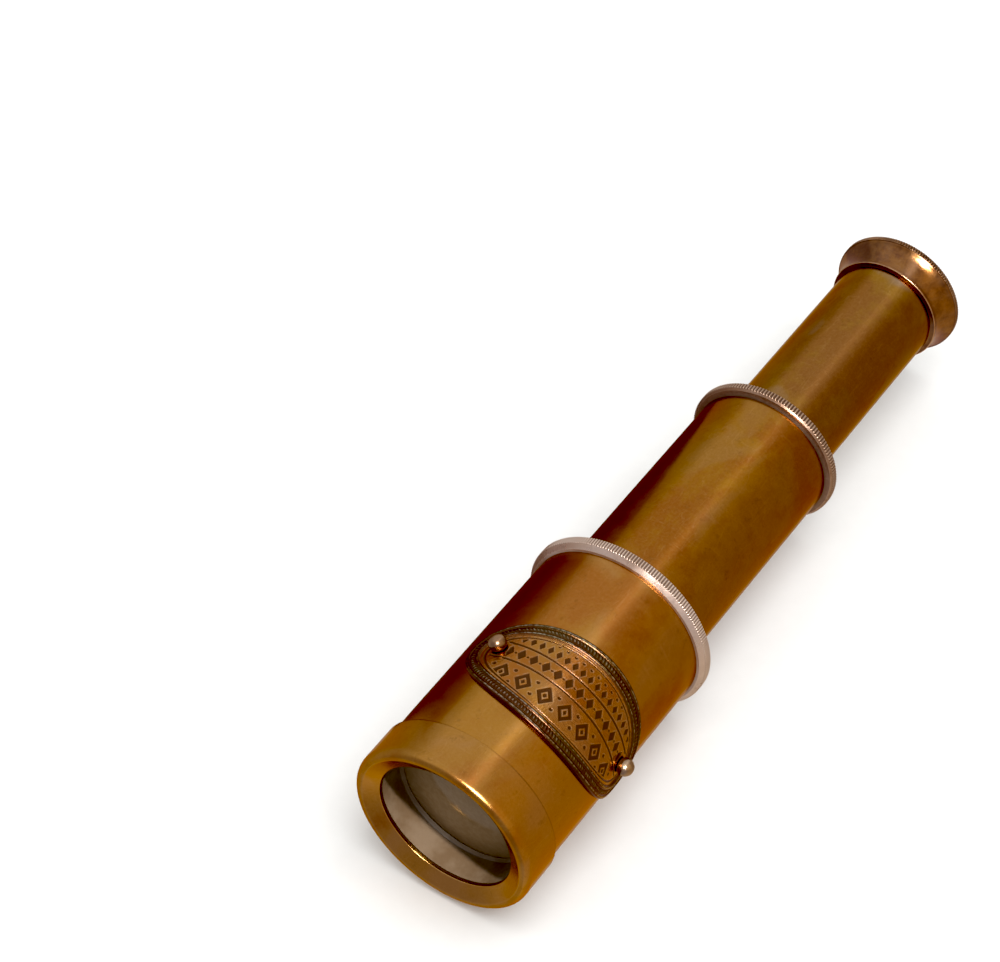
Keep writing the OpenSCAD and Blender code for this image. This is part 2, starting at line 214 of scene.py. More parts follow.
def etched_brass(name, gold, brown, haze, dark, border):
    """The name plate: etch is 0 on the polished field and 1 in the darkened etching.

    The attribute rail is 1 on the raised border, which has its own darker colour.
    """
    material, s = new_material(name)
    point = s.place()
    clouds = s.noise(point, 110.0, 3.0, 0.55, 0.4)
    grit = s.noise(point, 1500.0, 3.0, 0.65)
    scratches = s.lines((400, 120, 150), 0.010)
    colour = s.mix(s.span(clouds, 0.38, 0.60), brown, gold)
    colour = s.mix(s.span(s.noise(point, 95.0, 2.0), 0.45, 0.65, 0.0, 0.5), colour, haze)
    rail = s.attribute("rail")
    tarnish = s.mix(s.span(clouds, 0.40, 0.62), (border[0] * 0.9, border[1] * 0.5, border[2] * 0.6),
                    border)
    colour = s.mix(rail, colour, tarnish)
    etch = s.attribute("etch")
    ragged = s.math("ADD", etch, s.span(grit, 0.2, 0.8, -0.25, 0.25))
    depth = s.span(ragged, 0.15, 0.85)
    colour = s.mix(depth, colour, dark)
    # Rubbed rail tops, cord crests and mark rims take a pale, grit-speckled colour: wear and
    # painted glints
    rubbed_and_glinting = s.math("MULTIPLY", s.attribute("wear_and_glint"), s.span(grit, 0.40, 0.62, 0.1, 1.0))
    colour = s.mix(rubbed_and_glinting, colour, (0.60, 0.52, 0.40))
    height = s.math("SUBTRACT", s.math("MULTIPLY", grit, s.span(rail, 0.0, 1.0, 0.5, 1.0)),
                    s.math("MULTIPLY", scratches, 0.3))
    surface(s, Base_Color=colour, Metallic=s.span(depth, 0.0, 1.0, 1.0, 0.8),
            Roughness=s.span(ragged, 0.1, 0.9, 0.17, 0.40),
            Normal=s.bump(height, 0.00003, 0.5), Coat_Weight=0.15, Coat_Roughness=0.08,
            Specular_Tint=(0.75, 0.45, 0.20))
    return material


def optical_glass(name):
    """Old glass under a brown film, a little thinner in places: dust, and painted shade of the
    inside.
    """
    material, s = new_material(name)
    grain = s.noise(s.place(), 900.0, 3.0, 0.6)
    film = s.noise(s.place(), 140.0, 3.0, 0.55)
    # Nearly opaque brown: dust, and painted shade standing in for the dark inside behind the lens
    colour = s.mix(s.span(grain, 0.35, 0.7), (0.138, 0.090, 0.050), (0.155, 0.104, 0.060))
    surface(s, Base_Color=colour, Roughness=s.span(grain, 0.42, 0.8, 0.10, 0.25), IOR=1.52,
            Transmission_Weight=s.span(film, 0.35, 0.65, 0.06, 0.12), Specular_IOR_Level=0.1)
    return material


def blackened(name):
    """Matt black of the inside parts, with brown brass showing faintly through it."""
    material, s = new_material(name)
    grain = s.noise(s.place(), 1400.0, 3.0, 0.6)
    thin = s.noise(s.place(), 160.0, 3.0, 0.6)
    colour = s.mix(s.span(thin, 0.45, 0.75, 0.0, 0.5), (0.010, 0.009, 0.008), (0.045, 0.026, 0.012))
    surface(s, Base_Color=colour, Metallic=0.3, Roughness=s.span(grain, 0.3, 0.7, 0.5, 0.7),
            Normal=s.bump(grain, 0.00002, 0.5))
    return material


def make_materials():
    """The finishes by material slot, with a second one for the thinner draw and its collar."""
    silver = {"worn": (0.84, 0.70, 0.60), "dark": (0.13, 0.08, 0.062), "edge": (0.8, 0.65, 0.55)}
    return {
        "barrel_brass": aged_brass("barrel_brass", (0.385, 0.186, 0.043), (0.34, 0.132, 0.034),
                                   (0.40, 0.210, 0.080), haze_share=0.5, golden_end=0.030),
        "cap_brass": aged_brass("cap_brass", (0.370, 0.182, 0.047), (0.325, 0.128, 0.034),
                                (0.385, 0.205, 0.085), haze_share=0.6, golden_end=0.030),
        "draw_brass": aged_brass("draw_brass", (0.32, 0.150, 0.024), (0.28, 0.105, 0.024),
                                 (0.32, 0.170, 0.070), haze_share=0.4, cloud_scale=75.0),
        "draw_2_brass": aged_brass("draw_2_brass", (0.28, 0.145, 0.032), (0.245, 0.108, 0.034),
                                   (0.29, 0.195, 0.130), haze_share=0.9, cloud_scale=85.0),
        "bare_brass": matt_brass("bare_brass"),
        "collar_metal": aged_brass("collar_metal", (0.51, 0.385, 0.315), (0.38, 0.26, 0.195),
                                   (0.56, 0.45, 0.40), coat=0.05, metal=0.75, grain=1.7,
                                   roughness=0.29, **silver),
        "collar_2_metal": aged_brass("collar_2_metal", (0.25, 0.150, 0.098), (0.20, 0.104, 0.06),
                                     (0.285, 0.185, 0.134), coat=0.05, metal=0.75, grain=1.7,
                                     roughness=0.29, worn=(0.62, 0.46, 0.35),
                                     dark=(0.07, 0.035, 0.022), edge=(0.7, 0.5, 0.38)),
        "eyecup_brass": aged_brass("eyecup_brass", (0.25, 0.105, 0.025), (0.110, 0.032, 0.010),
                                   (0.20, 0.10, 0.052), roughness=0.20, coat=0.6,
                                   cloud_scale=130.0,
                                   worn=(0.50, 0.30, 0.18)),
        "plate_brass": etched_brass("plate_brass", (0.36, 0.165, 0.040), (0.32, 0.120, 0.028),
                                    (0.38, 0.20, 0.095), (0.075, 0.030, 0.012),
                                    (0.080, 0.050, 0.019)),
        "pin_metal": aged_brass("pin_metal", (0.34, 0.24, 0.165), (0.26, 0.155, 0.095),
                                (0.40, 0.31, 0.24), roughness=0.24, grain=1.6,
                                edge=(0.8, 0.65, 0.5)),
        "blackened_brass": blackened("blackened_brass"),
        "lens_glass": optical_glass("lens_glass"),
    }


# ---------------------------------------------------------------- turned pieces


def rounded(corners, steps=5):
    """A closed outline from (x, r, fillet) corners in millimetres.

    Returns the points, and how strongly each lies on an outside (+) or inside (-) corner.
    """
    corners = [np.array(c, float) for c in corners]
    count = len(corners)
    flat = np.array([c[:2] for c in corners])
    area = np.sum(flat[:, 0] * np.roll(flat[:, 1], -1) - np.roll(flat[:, 0], -1) * flat[:, 1])
    points, bends = [], []
    for i, corner in enumerate(corners):
        here, fillet = corner[:2], corner[2] if len(corner) > 2 else 0.0
        back = flat[i - 1] - here
        ahead = flat[(i + 1) % count] - here
        back_len, ahead_len = np.linalg.norm(back), np.linalg.norm(ahead)
        back, ahead = back / back_len, ahead / ahead_len
        half = math.acos(float(np.clip(back @ ahead, -1, 1))) / 2
        if fillet == 0 or half > math.pi / 2 - 0.02:
            points.append(here)
            bends.append(0.0)
            continue
        cut = min(fillet / math.tan(half), 0.48 * back_len, 0.48 * ahead_len)
        radius = cut * math.tan(half)
        middle = back + ahead
        centre = here + middle / np.linalg.norm(middle) * radius / math.sin(half)
        start, end = here + back * cut - centre, here + ahead * cut - centre
        turn = math.atan2(start[0] * end[1] - start[1] * end[0], start @ end)
        bend = math.copysign(min(1.0, abs(turn)), turn * area)
        for k in range(steps + 1):
            share = k / steps
            angle = turn * share
            c, s = math.cos(angle), math.sin(angle)
            points.append(centre + (start[0] * c - start[1] * s, start[0] * s + start[1] * c))
            bends.append(bend * math.sin(math.pi * share))
    return np.array(points), np.array(bends)


def mesh_object(name, vertices, faces, attributes):
    """A smooth-shaded object with one value of each named attribute at every vertex."""
    mesh = bpy.data.meshes.new(name)
    mesh.from_pydata(vertices.tolist(), [], faces)
    for key, values in attributes.items():
        layer = mesh.attributes.new(key, "FLOAT", "POINT")
        layer.data.foreach_set("value", np.asarray(values, np.float32))
    tidy = bmesh.new()
    tidy.from_mesh(mesh)
    bmesh.ops.recalc_face_normals(tidy, faces=tidy.faces)
    tidy.to_mesh(mesh)
    tidy.free()
    mesh.shade_smooth()
    made = bpy.data.objects.new(name, mesh)
    bpy.context.scene.collection.objects.link(made)
    return made


def crisp(piece):
    """Lets the large faces keep their own direction, so that fillets and flats read cleanly."""
    modifier = piece.modifiers.new("crisp", "WEIGHTED_NORMAL")
    modifier.weight = 80
    modifier.keep_sharp = False


def lathe(name, corners, segments=288, steps=5, teeth=0, depth=0.0, band=None, black_below=0.0,
          black_from=-100.0, polish=1.0):
    """Turns a rounded outline round the axis.

    teeth and depth cut straight knurling into the part of the outline that lies between the two
    x values of band and outside its radius. Points nearer the axis than black_below are blackened,
    if their x is more than black_from. polish is how bright the worn corners are.
    """
    points, bends = rounded(corners, steps)
    angles = np.arange(segments) * 2 * math.pi / segments
    radius = np.repeat(points[:, 1][:, None], segments, axis=1)
    # Inside corners are darkened through recess: painted shade
    recess = np.repeat((np.clip(-bends, 0, 1) * 0.8)[:, None], segments, axis=1)
    wear_and_glint = np.repeat(np.clip(bends * polish, 0, 1)[:, None], segments, axis=1)
    if teeth:
        low, high, root = band
        inside = (points[:, 0] >= low - 1e-6) & (points[:, 0] <= high + 1e-6)
        weight = np.where(inside & (points[:, 1] > root), 1.0, 0.0)[:, None]
        valley = ((1 + np.cos(teeth * angles)) / 2)[None, :] ** 1.4
        radius = radius - depth * weight * valley
        # Knurl valleys are darkened through recess: painted shade
        recess = np.maximum(recess, weight * valley)
        wear_and_glint = np.maximum(wear_and_glint * (1 - weight * valley), 0.55 * weight * (1 - valley) ** 2)
    black = (points[:, 1] < black_below) & (points[:, 0] > black_from)
    recess[black, :] = 1.0
    wear_and_glint[black, :] = 0.0
    x = np.repeat(points[:, 0][:, None], segments, axis=1)
    vertices = np.stack([x, -radius * np.sin(angles), radius * np.cos(angles)], -1)
    count = len(points)
    faces = []
    for i in range(count):
        j = (i + 1) % count
        for k in range(segments):
            n = (k + 1) % segments
            faces.append((i * segments + k, i * segments + n, j * segments + n, j * segments + k))
    attributes = {"wear_and_glint": wear_and_glint.ravel(), "recess": recess.ravel()}
    piece = mesh_object(name, vertices.reshape(-1, 3) * MM, faces, attributes)
    crisp(piece)
    return piece


def dome(name, half_outline, segments=96):
    """Turns an open outline, whose first and last points lie on the axis, into a closed piece."""
    outline = np.array(half_outline, float)
    angles = np.arange(segments) * 2 * math.pi / segments
    inner = outline[1:-1]
    rows = [np.stack([np.full(segments, x), -r * np.sin(angles), r * np.cos(angles)], -1)
            for x, r in inner]
    vertices = np.concatenate([[(outline[0][0], 0, 0)], *rows, [(outline[-1][0], 0, 0)]])
    last = len(vertices) - 1
    faces = []
    for k in range(segments):
        n = (k + 1) % segments
        faces.append((0, 1 + k, 1 + n))
        faces.append((last, last - segments + n, last - segments + k))
        for i in range(len(inner) - 1):
            low = 1 + i * segments
            high = low + segments
            faces.append((low + k, high + k, high + n, low + n))
    zero = np.zeros(len(vertices))
    return mesh_object(name, vertices * MM, faces, {"wear_and_glint": zero, "recess": zero})


def finish_piece(piece, body, slot, materials, *nodes, finish=None):
    """Puts a new piece on its body in place of CAD nodes. A finish is a variant of its slot."""
    piece.data.materials.append(materials[finish or slot])
    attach(piece, body)
    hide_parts(*nodes)
    return piece


def node_span(node):
    """First x, last x and largest radius of a round CAD node, in millimetres."""
    low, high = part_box(node)
    return low.x / MM, high.x / MM, max(high.z, high.y) / MM


# ---------------------------------------------------------------- barrel pieces

BARREL_WALL = 1.0
CAP_GAP = 0.004
FACE_DEPTH = 1.5
CAP_FACE_T = 0.8
OPENING_R = 12.9
LIP_R = 15.5
CAP_ROLL = 1.5
CAP_DROP = 1.1
SEAT_R = OPENING_R + 0.2
SEAT_CHAMFER = 0.5
SEAT_LAND = 0.2
LENS_CURVE = 58.0
LENS_BEVEL = 0.1
DRAW_WALL = 0.7
KNURL_DEPTH = 0.2
COLLAR_GAP = 0.13
GROOVE_DEPTH = 0.8
GROOVE_LIP = 0.6


def barrel_tube(materials):
    x0, x1, r = node_span("barrel_tube")
    bore = r - BARREL_WALL
    corners = [(x0, bore, 0.1), (x0, r, 0.1), (x1, r, 0.1), (x1, bore, 0.1)]
    piece = lathe("barrel_tube", corners, black_below=bore + 0.3)
    return finish_piece(piece, "barrel", "barrel_brass", materials, "barrel_tube")


def objective_cap(materials):
    """The thicker front of the barrel: square behind, and rolled over to a dished face in front."""
    x0, x1, r = node_span("objective_cap")
    bore = node_span("barrel_tube")[2] + CAP_GAP
    face, back = x0 + FACE_DEPTH, x0 + FACE_DEPTH + CAP_FACE_T

    # Points close beside the rear edges keep them crisp under smooth shading
    square_end = [(x1 - 0.05, bore, 0), (x1, bore, 0), (x1, bore + 0.046, 0), (x1, r - 0.10, 0),
                  (x1 - 0.04, r - 0.03, 0), (x1 - 0.10, r, 0), (x1 - 0.30, r, 0)]
    roll = [(x0 + CAP_ROLL * (1 - math.sin(a)), r - CAP_DROP * (1 - math.cos(a)), 0)
            for a in np.linspace(0, math.pi / 2, 22)]
    corners = [(face, OPENING_R, 0.22), (back, OPENING_R, 0.05), (back, bore, 0), *square_end,
               (x0 + CAP_ROLL + 0.4, r, 0), *roll, (x0, LIP_R, 0.8)]
    piece = lathe("objective_cap", corners, steps=8, segments=360, black_below=OPENING_R + 0.05,
                  black_from=face + 0.15, polish=0.4)
    return finish_piece(piece, "barrel", "cap_brass", materials, "objective_cap")


def objective_seat(materials):
    """The pale wall of the opening. The chamfer at its far end carries the lens."""
    x0, x1, r = node_span("objective_seat")
    land_r = SEAT_R - SEAT_CHAMFER
    corners = [(x0, SEAT_R, 0.15), (x0, r, 0), (x1, r, 0), (x1, land_r, 0.08),
               (x1 - SEAT_LAND, land_r, 0.08), (x1 - SEAT_LAND - SEAT_CHAMFER, SEAT_R, 0.3)]
    piece = lathe("objective_seat", corners)
    return finish_piece(piece, "barrel", "bare_brass", materials, "objective_seat")


def sphere_arc(x_pole, curve, r, steps):
    """Points of a spherical face from the axis out to r. A positive curve bulges towards -X."""
    radii = np.linspace(0, r, steps)
    sag = abs(curve) - np.sqrt(curve * curve - radii * radii)
    return [(x_pole + math.copysign(s, curve), q) for s, q in zip(sag, radii)]


def objective_lens(materials):
    x0, x1, r = node_span("objective_lens")
    front = sphere_arc(x0, LENS_CURVE, r - LENS_BEVEL, 24)
    back = sphere_arc(x1, -LENS_CURVE, r - LENS_BEVEL, 24)[::-1]
    rim = [(front[-1][0] + LENS_BEVEL, r), (back[0][0] - LENS_BEVEL, r)]
    piece = dome("objective_lens", front + rim + back, segments=192)
    return finish_piece(piece, "barrel", "lens_glass", materials, "objective_lens")


def collar(name, finish, materials, body, tube_r, x_face, bevel, bevel_r, teeth, neck_r, bore_r):
    """A knurled collar: bevelled front, toothed band, and a neck that goes into the tube."""
    x0, x1, r = node_span(name)
    groove_r = bore_r + GROOVE_DEPTH
    corners = [
        (x0, bore_r, 0.08), (x0, neck_r, 0.08), (x_face, neck_r, 0), (x_face, bevel_r, 0.08),
        (x_face + bevel, r - KNURL_DEPTH + 0.02, 0.05), (x_face + bevel + 0.12, r, 0.09),
        (x1 - 0.12, r, 0.09), (x1, r - KNURL_DEPTH, 0.08), (x1, bore_r, 0.12),
        (x1 - GROOVE_LIP, bore_r, 0), (x1 - GROOVE_LIP, groove_r, 0),
        (x0 + GROOVE_LIP, groove_r, 0), (x0 + GROOVE_LIP, bore_r, 0),
    ]
    band = (x_face + bevel + 0.02, x1 - 0.01, r - KNURL_DEPTH + 0.04)
    piece = lathe(name, corners, segments=teeth * 7, steps=3, teeth=teeth, depth=KNURL_DEPTH,
                  band=band, black_below=tube_r - 0.5)
    return finish_piece(piece, body, "collar_metal", materials, name, finish=finish)


def barrel_collar(materials):
    barrel_end, barrel_r = node_span("barrel_tube")[1:]
    inner_r = node_span("draw_tube_1")[2]
    return collar("barrel_collar", "collar_metal", materials, "barrel", tube_r=barrel_r,
                  x_face=barrel_end, bevel=0.72, bevel_r=barrel_r + 0.5, teeth=210,
                  neck_r=barrel_r - BARREL_WALL, bore_r=inner_r + COLLAR_GAP)


def draw_1_collar(materials):
    tube_end, tube_r = node_span("draw_tube_1")[1:]
    inner_r = node_span("draw_tube_2")[2]
    return collar("draw_1_collar", "collar_2_metal", materials, "draw_1", tube_r=tube_r,
                  x_face=tube_end + 0.4, bevel=0.32, bevel_r=tube_r + 0.95, teeth=150,
                  neck_r=tube_r - DRAW_WALL, bore_r=inner_r + COLLAR_GAP)


def draw_tube(name, body, finish, materials):
    x0, x1, r = node_span(name)
    bore = r - DRAW_WALL
    corners = [(x0, bore, 0.08), (x0, r, 0.08), (x1, r, 0.12), (x1, bore, 0.08)]
    piece = lathe(name, corners, black_below=bore + 0.2)
    return finish_piece(piece, body, "draw_brass", materials, name, finish=finish)


# ---------------------------------------------------------------- eyecup


def eyecup(materials):
    x0, x1, r = node_span("eyecup")
    tube_end, tube_r = node_span("draw_tube_2")[1:]
    neck_r, inner_r = 8.5, 6.3
    lip_x = tube_end + 0.4
    lip_r, lip_t = 10.95, 0.7
    waist_r = tube_r + 0.3
    rim_x = x1 - 1.1
    flare_r = r - 0.2
    rise, run = flare_r - waist_r, rim_x - lip_x - lip_t
    curve = (rise * rise + run * run) / 2 / rise
    sweep = math.asin(run / curve)
    flare = [(lip_x + lip_t + curve * math.sin(a), waist_r + curve * (1 - math.cos(a)))
             for a in np.linspace(0, sweep, 15)]
    dish_r, dish_depth, hole_r = flare_r - 0.8, 4.4, 4.2
    bowl = (dish_r * dish_r + dish_depth * dish_depth) / 2 / dish_depth
    dish = [(x1 - dish_depth + bowl - math.sqrt(bowl * bowl - q * q), q)
            for q in np.linspace(dish_r, hole_r, 15)]
    seat_x = lip_x + 1.0
    corners = [
        (x0, inner_r, 0.05), (x0, neck_r, 0.08), (lip_x, neck_r, 0), (lip_x, lip_r, 0.22),
        (lip_x + lip_t, lip_r, 0.16), *[(*p, 0) for p in flare[:-1]],
        (rim_x - 0.02, flare_r - 0.02, 0.04), (rim_x, flare_r - 0.1, 0.04),
        (rim_x + 0.02, r - 0.02, 0.1), (x1 - 0.1, r, 0.1), (x1, r - 0.3, 0.15),
        (x1, dish_r, 0.25), *[(*p, 0) for p in dish[1:-1]], (dish[-1][0], hole_r, 0.12),
        (seat_x, hole_r, 0.05), (seat_x, inner_r, 0),
    ]
    teeth = 144
    piece = lathe("eyecup", corners, segments=teeth * 7, steps=3, teeth=teeth, depth=0.24,
                  band=(rim_x + 0.04, x1 - 0.02, flare_r - 0.02))
    return finish_piece(piece, "draw_2", "eyecup_brass", materials, "eyecup")


# ---------------------------------------------------------------- name plate

PLATE_LEN = 42.8
PLATE_W = 20.0
PLATE_ANGLE = math.radians(33.0)
PLATE_TILT = math.radians(1.4)
BORDER_W = 2.9
BORDER_H = 0.85
FIELD_H = 0.45
PLATE_GAP = 0.03
PLATE_CELLS = 260
ETCH_DEPTH = 0.10
EDGE_H = 0.25
CORD_INSET = 1.45
CORD_PITCH = 0.62
PIN_REACH = 16.0
PIN_SHIFT = 1.2


def plate_middle():
    low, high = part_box("name_plate")
    return (low.x + high.x) / 2 / MM


def wrapped(s, x, height):
    """Points of the plate: s runs round the barrel, x along it, height stands off the barrel."""
    barrel_r = node_span("barrel_tube")[2]
    round_s = s * math.cos(PLATE_TILT) - x * math.sin(PLATE_TILT)
    along = s * math.sin(PLATE_TILT) + x * math.cos(PLATE_TILT)
    angle = PLATE_ANGLE + round_s / barrel_r
    r = barrel_r + height
    return np.stack([plate_middle() + along, -r * np.sin(angle), r * np.cos(angle)], -1)


def step(value, low, high):
    t = np.clip((value - low) / (high - low), 0, 1)
    return t * t * (3 - 2 * t)


def ridge(value, middle, half):
    """1 on the ridge line, falling roundly to 0 at half its width."""
    return np.sqrt(np.clip(1 - ((value - middle) / half) ** 2, 0, 1))


def lozenges(s, x, pitch, middle, half_s, half_x, shift=0.0):
    """Distance outside a row of lozenges, in millimetres: negative inside."""
    off = (s - shift + pitch / 2) % pitch - pitch / 2
    reach = np.abs(off) / half_s + np.abs(x - middle) / half_x - 1
    return reach * half_s * half_x / math.hypot(half_s, half_x)


def dots(s, x, pitch, middle, radius, shift=0.0):
    off = (s - shift + pitch / 2) % pitch - pitch / 2
    return np.hypot(off, x - middle) - radius


def ornament(s, x):
    """Distance to the nearest etched mark: two long lines and three bands of plain geometry."""
    long_lines = np.minimum(np.abs(x + 0.8), np.abs(x - 2.8)) - 0.17
    wide = lozenges(s, x, 4.2, -3.7, 1.55, 2.0)
    wide = np.maximum(wide, -(lozenges(s, x, 4.2, -3.7, 0.75, 1.0)))
    wide = np.minimum(wide, lozenges(s, x, 4.2, -3.7, 0.36, 0.50))
    wide = np.minimum(wide, dots(s, x, 4.2, -2.35, 0.30, 2.1))
    wide = np.minimum(wide, dots(s, x, 4.2, -5.05, 0.30, 2.1))
    middle = lozenges(s, x, 2.3, 1.0, 0.75, 1.15)
    middle = np.minimum(middle, dots(s, x, 2.3, 1.0, 0.2, 1.15))
    small = np.minimum(lozenges(s, x, 1.6, 4.3, 0.5, 0.85), dots(s, x, 1.6, 5.75, 0.22, 0.8))
    inside = 1 - np.hypot(s / (PLATE_LEN / 2 - BORDER_W), x / (PLATE_W / 2 - BORDER_W))
    edge = (0.085 - inside) * 8.0
    rim_line = np.abs(inside - 0.045) * 8.0 - 0.10
    clear_of_pins = 1.9 - np.hypot(np.abs(s) - PIN_REACH, x - PIN_SHIFT)
    marks = np.minimum(np.minimum(wide, middle), np.minimum(small, long_lines))
    return np.minimum(np.maximum(np.maximum(marks, edge), clear_of_pins), rim_line)


def border_height(d, phase):
    """Height of the border at inset d: a rail, a fine twisted cord and a second rail."""
    low = 0.55
    outer = ridge(d, 0.50, 0.40) * (BORDER_H - low)
    cord = ridge(d, 1.46, 0.56) * (0.12 + 0.10 * twist(d, phase))
    inner = ridge(d, 2.36, 0.34) * (BORDER_H - 0.04 - low)
    base = low + (FIELD_H - low) * step(d, 2.55, BORDER_W)
    return base * step(d, -0.05, 0.12) + np.maximum(np.maximum(outer, cord), inner)


def border_etch(d, phase):
    """How dark the border is: dark grooves, duller rails, and lighter tops on the cord."""
    rails = np.maximum(ridge(d, 0.50, 0.36), ridge(d, 2.36, 0.30)) * 0.75
    cord = ridge(d, 1.46, 0.5) * (0.40 + 0.35 * twist(d, phase))
    return np.clip(0.80 - np.maximum(rails, cord), 0, 1)


# Pale rail tops and cord crests: rubbed metal with painted glints
def border_wear_and_glint(d, phase):
    tops = np.maximum(ridge(d, 0.50, 0.15), ridge(d, 2.36, 0.14)) * 0.5
    return np.maximum(tops, ridge(d, 1.46, 0.25) * twist(d, phase) ** 3 * 0.5)


def twist(d, phase):
    return 0.5 + 0.5 * np.cos(2 * math.pi * (phase + 0.5 * (d - CORD_INSET)))


def unit_disc(n):
    """A square grid of n cells a side, drawn out to a disc of radius 1."""
    line = np.linspace(-1, 1, n + 1)
    across, up = np.meshgrid(line, line, indexing="ij")
    return across * np.sqrt(1 - up * up / 2), up * np.sqrt(1 - across * across / 2)


def grid_rim(n):
    """The rim places (i, j) of the grid, counted round from the middle of its +s side."""
    half = n // 2
    loop = [(n, j) for j in range(half, n)] + [(i, n) for i in range(n, 0, -1)]
    loop += [(0, j) for j in range(n, 0, -1)] + [(i, 0) for i in range(n)]
    return loop + [(n, j) for j in range(half)]


def field_points(s, x):
    """Points of the etched field, with their etch, their rubbed rims with painted glints, and rail.
    """
    away = ornament(s, x)
    cut = 1 - step(away, -0.10, 0.06)
    ripple = np.sin(9.1 * s + 3.0 * np.sin(4.3 * x)) * np.sin(11.7 * x + 2.0 * np.sin(3.1 * s))
    points = wrapped(s, x, FIELD_H - ETCH_DEPTH * cut + 0.012 * ripple * (1 - cut))
    # A thin ring round each mark takes pale wear and painted glints
    wear_and_glint = np.exp(-((away - 0.13) / 0.07) ** 2) * 0.25
    return points, 1 - step(away, -0.06, 0.10), wear_and_glint, np.zeros(len(s))


def cord_phase(t):
    """Turns of the border's cord up to each angle t: a whole number in all, so that it closes."""
    a, b = PLATE_LEN / 2 - CORD_INSET, PLATE_W / 2 - CORD_INSET
    path = np.stack([a * np.cos(t), b * np.sin(t)], -1)
    lengths = np.linalg.norm(np.roll(path, -1, axis=0) - path, axis=1)
    travelled = np.concatenate([[0], np.cumsum(lengths)[:-1]])
    return travelled / lengths.sum() * round(lengths.sum() / CORD_PITCH)


def border_rings(t, phase):
    """Rings of points from the field out to the rim and down to the foot, as field_points gives."""
    rings = []
    count = len(t)
    for d in np.concatenate([np.linspace(BORDER_W, 0.12, 25)[1:], [0.05, 0.0]]):
        a, b = PLATE_LEN / 2 - d, PLATE_W / 2 - d
        inset = np.full(count, d)
        height = np.maximum(border_height(inset, phase), EDGE_H)
        rail = np.full(count, float(step(d, BORDER_W - 0.1, BORDER_W - 0.35)))
        rings.append((wrapped(a * np.cos(t), b * np.sin(t), height), border_etch(inset, phase),
                      border_wear_and_glint(inset, phase), rail))
    foot = wrapped(PLATE_LEN / 2 * np.cos(t), PLATE_W / 2 * np.sin(t), PLATE_GAP)
    rings.append((foot, np.ones(count), np.zeros(count), np.ones(count)))
    return rings


def back_faces(foot):
    """Strips across the back, from one half of the foot ring to the other."""
    count = len(foot)
    half = count // 2
    strips = [(foot[k], foot[k + 1], foot[count - k - 1], foot[count - k])
              for k in range(1, half - 1)]
    return strips + [(foot[0], foot[1], foot[count - 1]),
                     (foot[half - 1], foot[half], foot[half + 1])]


def name_plate(materials):
    """The etched field on a grid, then rings for the border and the wall, and a plain back."""
    n = PLATE_CELLS
    u, v = unit_disc(n)
    s, x = u * (PLATE_LEN / 2 - BORDER_W), v * (PLATE_W / 2 - BORDER_W)
    rim = grid_rim(n)
    t = np.array([math.atan2(v[place], u[place]) for place in rim])
    rings = [field_points(s.ravel(), x.ravel()), *border_rings(t, cord_phase(t))]

    cells = [i * (n + 1) + j for i in range(n) for j in range(n)]
    faces = [(k, k + n + 1, k + n + 2, k + 1) for k in cells]
    ring = [i * (n + 1) + j for i, j in rim]
    count = len(ring)
    total = (n + 1) ** 2
    for _ in rings[1:]:
        outer = list(range(total, total + count))
        faces += [(ring[k], ring[(k + 1) % count], outer[(k + 1) % count], outer[k])
                  for k in range(count)]
        ring = outer
        total += count
    points, etch, wear_and_glint, rail = (np.concatenate(column) for column in zip(*rings))
    piece = mesh_object("name_plate", points * MM, faces + back_faces(ring),
                        {"etch": etch, "wear_and_glint": wear_and_glint, "rail": rail})
    return finish_piece(piece, "barrel", "plate_brass", materials, "name_plate")


def plate_pins(materials):
    """Two ball-headed pins: a slightly flattened ball on a shank that goes through the plate."""
    ball_r, shank_r, sink = 1.6, 0.8, 0.7
    foot = FIELD_H + 0.03
    centre = foot + ball_r - sink
    barrel_r = node_span("barrel_tube")[2]
    start = math.acos((centre - foot) / ball_r)
    ball = [(centre + ball_r * math.cos(a) * (1.0 if a > 1 else 0.985), ball_r * math.sin(a))
            for a in np.linspace(0, math.pi - start, 26)]
    profile = ball + [(foot, shank_r), (-BARREL_WALL + 0.1, shank_r), (-BARREL_WALL + 0.1, 0)]
    outline = np.array(profile[1:-1])
    segments = 64
    angles = np.arange(segments) * 2 * math.pi / segments
    vertices, faces, recess = [], [], []
    for side in (-1, 1):
        base = wrapped(np.array([side * PIN_REACH]), np.array([PIN_SHIFT]), 0.0)[0]
        out = np.array([0, base[1], base[2]]) / barrel_r
        across = np.array([1.0, 0, 0])
        over = np.cross(out, across)
        first = len(vertices)
        vertices.append(base + out * profile[0][0])
        recess.append(0.0)
        for h, r in outline:
            lump = 1 + 0.012 * np.sin(3 * angles + side) * np.sin(2.2 * h + side)
            for angle, swell in zip(angles, lump):
                ring = across * math.cos(angle) + over * math.sin(angle)
                vertices.append(base + out * h + ring * r * swell)
                # Painted contact shade: the pin darkens over its lowest 0.35 mm above the plate,
                # and fully below it
                recess.append(float(np.clip((foot + 0.35 - h) / 0.35, 0, 1)))
        vertices.append(base + out * profile[-1][0])
        recess.append(1.0)
        last = len(vertices) - 1
        for k in range(segments):
            n = (k + 1) % segments
            faces.append((first, first + 1 + k, first + 1 + n))
            faces.append((last, last - segments + n, last - segments + k))
            for i in range(len(outline) - 1):
                low = first + 1 + i * segments
                faces.append((low + k, low + segments + k, low + segments + n, low + n))
    attributes = {"wear_and_glint": np.zeros(len(vertices)), "recess": recess}
    piece = mesh_object("plate_pins", np.array(vertices) * MM, faces, attributes)
    crisp(piece)
    return finish_piece(piece, "barrel", "pin_metal", materials, "plate_pins")


# ---------------------------------------------------------------- the rest of the CAD nodes


